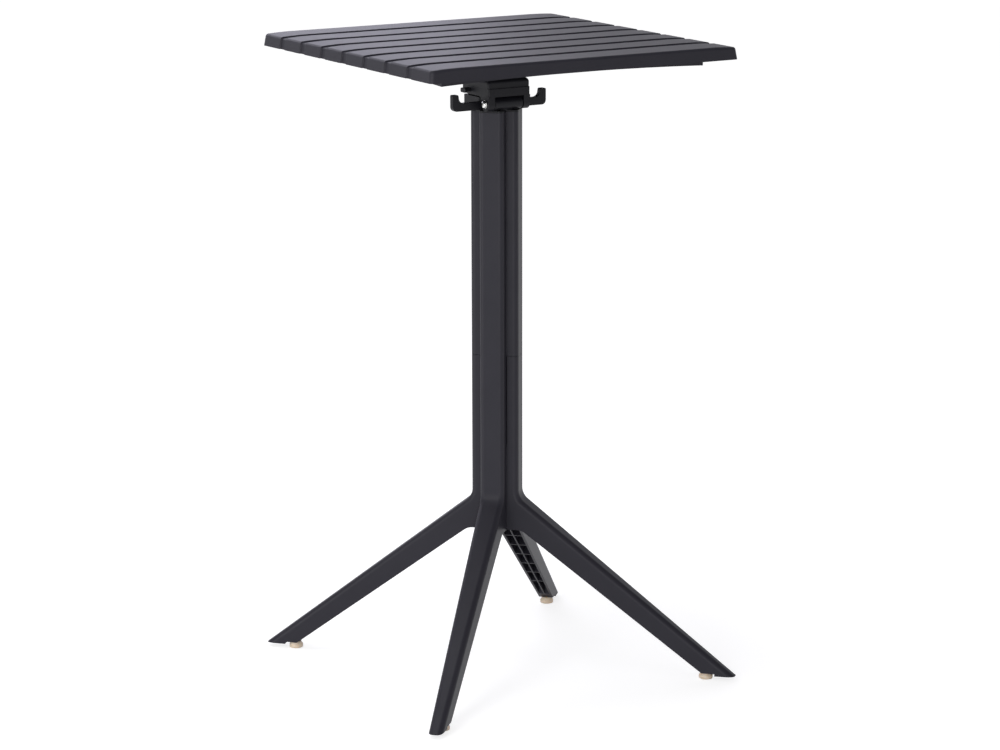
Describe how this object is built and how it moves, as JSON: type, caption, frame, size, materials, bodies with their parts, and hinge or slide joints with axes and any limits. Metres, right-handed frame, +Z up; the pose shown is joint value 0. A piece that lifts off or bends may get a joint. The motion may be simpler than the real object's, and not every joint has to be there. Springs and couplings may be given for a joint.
{
  "type": "folding bar table",
  "caption": "Tall folding bar table in dark moulded plastic: slatted square top on a locking hinge, lobed column with bag hooks, splayed ribbed legs with screw-in glides",
  "frame": {"origin": "on the floor under the column's axis", "axes": "+Z up; +X along the slats and the hinge axis; the top folds down on the -Y side; the legs run along the four diagonals"},
  "size_m": [0.608, 0.608, 1.1],
  "materials": {
    "anthracite_plastic": "moulded, fine grain",
    "hinge_plastic": "moulded, glass-filled",
    "zinc_steel": "zinc plated",
    "bolt_steel": "bright",
    "bush_plastic": "moulded acetal",
    "brass_insert": "turned",
    "glide_plastic": "moulded, slightly translucent"
  },
  "bodies": {
    "base": {"main_leg_frame": "anthracite_plastic", "cross_leg_frame": "anthracite_plastic", "column_head": "hinge_plastic", "tie_rod": "zinc_steel", "tie_rod_washers": "zinc_steel", "tie_rod_nuts": "zinc_steel", "hinge_bushes": "bush_plastic", "glide_inserts": "brass_insert"},
    "top": {"tabletop": "anthracite_plastic", "top_mount": "hinge_plastic", "top_screws": "zinc_steel", "hinge_leaf": "hinge_plastic", "leaf_screws": "zinc_steel", "hinge_bolt": "bolt_steel", "hinge_washers": "bolt_steel", "hinge_nut": "bolt_steel", "lock_stop_pin": "zinc_steel"},
    "lock": {"lock_slide": "hinge_plastic"},
    "glide_front": {"glide_pad_front": "glide_plastic", "glide_stud_front": "zinc_steel"},
    "glide_right": {"glide_pad_right": "glide_plastic", "glide_stud_right": "zinc_steel"},
    "glide_back": {"glide_pad_back": "glide_plastic", "glide_stud_back": "zinc_steel"},
    "glide_left": {"glide_pad_left": "glide_plastic", "glide_stud_left": "zinc_steel"}
  },
  "joints": [
    {"name": "top_fold", "type": "hinge", "parent": "base", "child": "top", "pos_m": [0, -0.031, 0.996], "axis": [1, 0, 0], "range_deg": [0, 90]},
    {"name": "lock_travel", "type": "slide", "parent": "top", "child": "lock", "axis": [1, 0, 0], "range_m": [0, 0.008]},
    {"name": "glide_front_screw", "type": "slide", "parent": "base", "child": "glide_front", "axis": [0, 0, 1], "range_m": [-0.01, 0]},
    {"name": "glide_right_screw", "type": "slide", "parent": "base", "child": "glide_right", "axis": [0, 0, 1], "range_m": [-0.01, 0]},
    {"name": "glide_back_screw", "type": "slide", "parent": "base", "child": "glide_back", "axis": [0, 0, 1], "range_m": [-0.01, 0]},
    {"name": "glide_left_screw", "type": "slide", "parent": "base", "child": "glide_left", "axis": [0, 0, 1], "range_m": [-0.01, 0]}
  ]
}
